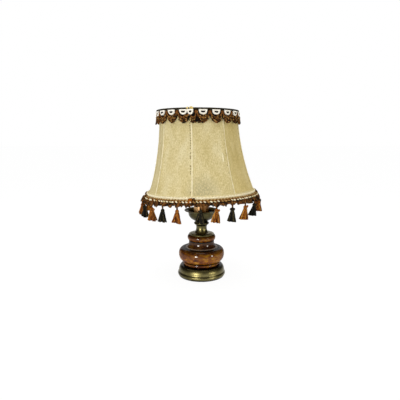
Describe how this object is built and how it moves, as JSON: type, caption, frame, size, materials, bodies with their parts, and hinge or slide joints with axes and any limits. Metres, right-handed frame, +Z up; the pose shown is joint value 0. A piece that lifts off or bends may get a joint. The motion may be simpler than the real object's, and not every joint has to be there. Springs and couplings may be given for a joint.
{
  "type": "table lamp",
  "caption": "Table lamp with a turned wood body, brass foot, neck and bowl, and a fabric bell shade trimmed with braid and swinging tassels.",
  "frame": {"origin": "middle of the felt under the foot, on the table", "axes": "+Z up the stem, -Y towards the front as pictured, +Y to the back with the cord outlet"},
  "size_m": [0.3333, 0.3338, 0.4436],
  "materials": {
    "brass": "antique, dulled to olive, softly polished",
    "wood": "turned, stained orange-brown, glossy lacquer",
    "felt": "pressed felt",
    "iron": "rough cast",
    "steel": "zinc plated wire and hardware",
    "bakelite": "moulded brown, glossy",
    "holder_brass": "copper-toned, polished, tarnished brown on one side",
    "porcelain": "glazed",
    "bulb": "opal glass",
    "shade_fabric": "cream slub weave, stretched",
    "cream_tape": "woven cotton tape",
    "brown_braid": "looped chenille braid",
    "edging_cord": "twisted cord",
    "fringe_braid": "cream and brown woven braid with brown loops",
    "orange_tassel": "rayon yarn",
    "black_tassel": "rayon yarn"
  },
  "bodies": {
    "base": {"foot_felt": "felt", "foot": "brass", "cord_bush": "bakelite", "ballast": "iron", "base_washer": "steel", "base_nut": "steel", "stem_tube": "steel", "wood_body": "wood", "wood_ring": "wood", "neck": "brass", "bowl": "brass", "bowl_nut": "brass", "holder_cap": "holder_brass", "holder_shell": "holder_brass", "holder_insert": "porcelain"},
    "shade": {"shade_frame": "steel", "carrier_ring": "steel", "carrier_arm_1": "steel", "carrier_arm_2": "steel", "carrier_arm_3": "steel", "carrier_arm_4": "steel", "gore_1": "shade_fabric", "gore_2": "shade_fabric", "gore_3": "shade_fabric", "gore_4": "shade_fabric", "gore_5": "shade_fabric", "gore_6": "shade_fabric", "gore_7": "shade_fabric", "gore_8": "shade_fabric", "top_binding": "cream_tape", "top_braid": "brown_braid", "top_edging": "edging_cord", "bottom_braid": "fringe_braid"},
    "bulb": {"bulb_cap": "steel", "bulb_glass": "bulb"},
    "clamp": {"shade_ring": "holder_brass"},
    "tassel_01": {"tassel_01": "black_tassel"},
    "tassel_02": {"tassel_02": "orange_tassel"},
    "tassel_03": {"tassel_03": "black_tassel"},
    "tassel_04": {"tassel_04": "orange_tassel"},
    "tassel_05": {"tassel_05": "black_tassel"},
    "tassel_06": {"tassel_06": "orange_tassel"},
    "tassel_07": {"tassel_07": "black_tassel"},
    "tassel_08": {"tassel_08": "orange_tassel"},
    "tassel_09": {"tassel_09": "black_tassel"},
    "tassel_10": {"tassel_10": "orange_tassel"},
    "tassel_11": {"tassel_11": "black_tassel"},
    "tassel_12": {"tassel_12": "orange_tassel"},
    "tassel_13": {"tassel_13": "black_tassel"},
    "tassel_14": {"tassel_14": "orange_tassel"},
    "tassel_15": {"tassel_15": "black_tassel"},
    "tassel_16": {"tassel_16": "orange_tassel"},
    "tassel_17": {"tassel_17": "black_tassel"},
    "tassel_18": {"tassel_18": "orange_tassel"},
    "tassel_19": {"tassel_19": "black_tassel"},
    "tassel_20": {"tassel_20": "orange_tassel"},
    "tassel_21": {"tassel_21": "black_tassel"},
    "tassel_22": {"tassel_22": "orange_tassel"},
    "tassel_23": {"tassel_23": "black_tassel"},
    "tassel_24": {"tassel_24": "orange_tassel"}
  },
  "joints": [
    {"name": "shade_turn", "type": "hinge", "parent": "base", "child": "shade", "pos_m": [0, 0, 0.21379], "axis": [0, 0, 1], "continuous": true},
    {"name": "bulb_lift", "type": "slide", "parent": "base", "child": "bulb", "axis": [0, 0, 1], "range_m": [0, 0.27]},
    {"name": "ring_turn", "type": "hinge", "parent": "base", "child": "clamp", "pos_m": [0, 0, 0.21958], "axis": [0, 0, 1], "range_deg": [0, 1080]},
    {"name": "tassel_01_swing", "type": "hinge", "parent": "shade", "child": "tassel_01", "pos_m": [-0.00256, -0.15572, 0.214], "axis": [1, -0.0087, 0], "range_deg": [-40, 40]},
    {"name": "tassel_02_swing", "type": "hinge", "parent": "shade", "child": "tassel_02", "pos_m": [0.03513, -0.15141, 0.21506], "axis": [0.9724, 0.2334, 0], "range_deg": [-40, 40]},
    {"name": "tassel_03_swing", "type": "hinge", "parent": "shade", "child": "tassel_03", "pos_m": [0.0726, -0.13709, 0.21591], "axis": [0.8805, 0.4741, 0], "range_deg": [-40, 40]},
    {"name": "tassel_04_swing", "type": "hinge", "parent": "shade", "child": "tassel_04", "pos_m": [0.10516, -0.11368, 0.21642], "axis": [0.7302, 0.6833, 0], "range_deg": [-40, 40]},
    {"name": "tassel_05_swing", "type": "hinge", "parent": "shade", "child": "tassel_05", "pos_m": [0.13068, -0.08273, 0.21656], "axis": [0.5314, 0.8471, 0], "range_deg": [-40, 40]},
    {"name": "tassel_06_swing", "type": "hinge", "parent": "shade", "child": "tassel_06", "pos_m": [0.14744, -0.04628, 0.21632], "axis": [0.2974, 0.9548, 0], "range_deg": [-40, 40]},
    {"name": "tassel_07_swing", "type": "hinge", "parent": "shade", "child": "tassel_07", "pos_m": [0.15435, -0.00677, 0.21572], "axis": [0.0436, 0.999, 0], "range_deg": [-40, 40]},
    {"name": "tassel_08_swing", "type": "hinge", "parent": "shade", "child": "tassel_08", "pos_m": [0.15094, 0.03318, 0.2148], "axis": [-0.213, 0.977, 0], "range_deg": [-40, 40]},
    {"name": "tassel_09_swing", "type": "hinge", "parent": "shade", "child": "tassel_09", "pos_m": [0.13743, 0.07094, 0.21361], "axis": [-0.4555, 0.8902, 0], "range_deg": [-40, 40]},
    {"name": "tassel_10_swing", "type": "hinge", "parent": "shade", "child": "tassel_10", "pos_m": [0.11473, 0.10398, 0.21224], "axis": [-0.6678, 0.7443, 0], "range_deg": [-40, 40]},
    {"name": "tassel_11_swing", "type": "hinge", "parent": "shade", "child": "tassel_11", "pos_m": [0.08434, 0.13012, 0.21078], "axis": [-0.8358, 0.549, 0], "range_deg": [-40, 40]},
    {"name": "tassel_12_swing", "type": "hinge", "parent": "shade", "child": "tassel_12", "pos_m": [0.04828, 0.14763, 0.20933], "axis": [-0.9483, 0.3173, 0], "range_deg": [-40, 40]},
    {"name": "tassel_13_swing", "type": "hinge", "parent": "shade", "child": "tassel_13", "pos_m": [0.00894, 0.15534, 0.20797], "axis": [-0.9979, 0.0645, 0], "range_deg": [-40, 40]},
    {"name": "tassel_14_swing", "type": "hinge", "parent": "shade", "child": "tassel_14", "pos_m": [-0.03107, 0.15274, 0.20681], "axis": [-0.9813, -0.1925, 0], "range_deg": [-40, 40]},
    {"name": "tassel_15_swing", "type": "hinge", "parent": "shade", "child": "tassel_15", "pos_m": [-0.0691, 0.14, 0.20592], "axis": [-0.8996, -0.4368, 0], "range_deg": [-40, 40]},
    {"name": "tassel_16_swing", "type": "hinge", "parent": "shade", "child": "tassel_16", "pos_m": [-0.10262, 0.11797, 0.20535], "axis": [-0.7581, -0.6521, 0], "range_deg": [-40, 40]},
    {"name": "tassel_17_swing", "type": "hinge", "parent": "shade", "child": "tassel_17", "pos_m": [-0.1294, 0.08811, 0.20515], "axis": [-0.5664, -0.8241, 0], "range_deg": [-40, 40]},
    {"name": "tassel_18_swing", "type": "hinge", "parent": "shade", "child": "tassel_18", "pos_m": [-0.14768, 0.05241, 0.20532], "axis": [-0.3371, -0.9415, 0], "range_deg": [-40, 40]},
    {"name": "tassel_19_swing", "type": "hinge", "parent": "shade", "child": "tassel_19", "pos_m": [-0.15623, 0.01322, 0.20587], "axis": [-0.0854, -0.9963, 0], "range_deg": [-40, 40]},
    {"name": "tassel_20_swing", "type": "hinge", "parent": "shade", "child": "tassel_20", "pos_m": [-0.1545, -0.02685, 0.20674], "axis": [0.1719, -0.9851, 0], "range_deg": [-40, 40]},
    {"name": "tassel_21_swing", "type": "hinge", "parent": "shade", "child": "tassel_21", "pos_m": [-0.14259, -0.06513, 0.20789], "axis": [0.4179, -0.9085, 0], "range_deg": [-40, 40]},
    {"name": "tassel_22_swing", "type": "hinge", "parent": "shade", "child": "tassel_22", "pos_m": [-0.12129, -0.0991, 0.20923], "axis": [0.6361, -0.7716, 0], "range_deg": [-40, 40]},
    {"name": "tassel_23_swing", "type": "hinge", "parent": "shade", "child": "tassel_23", "pos_m": [-0.09202, -0.12649, 0.21068], "axis": [0.8121, -0.5835, 0], "range_deg": [-40, 40]},
    {"name": "tassel_24_swing", "type": "hinge", "parent": "shade", "child": "tassel_24", "pos_m": [-0.05673, -0.1455, 0.21215], "axis": [0.9342, -0.3567, 0], "range_deg": [-40, 40]}
  ]
}
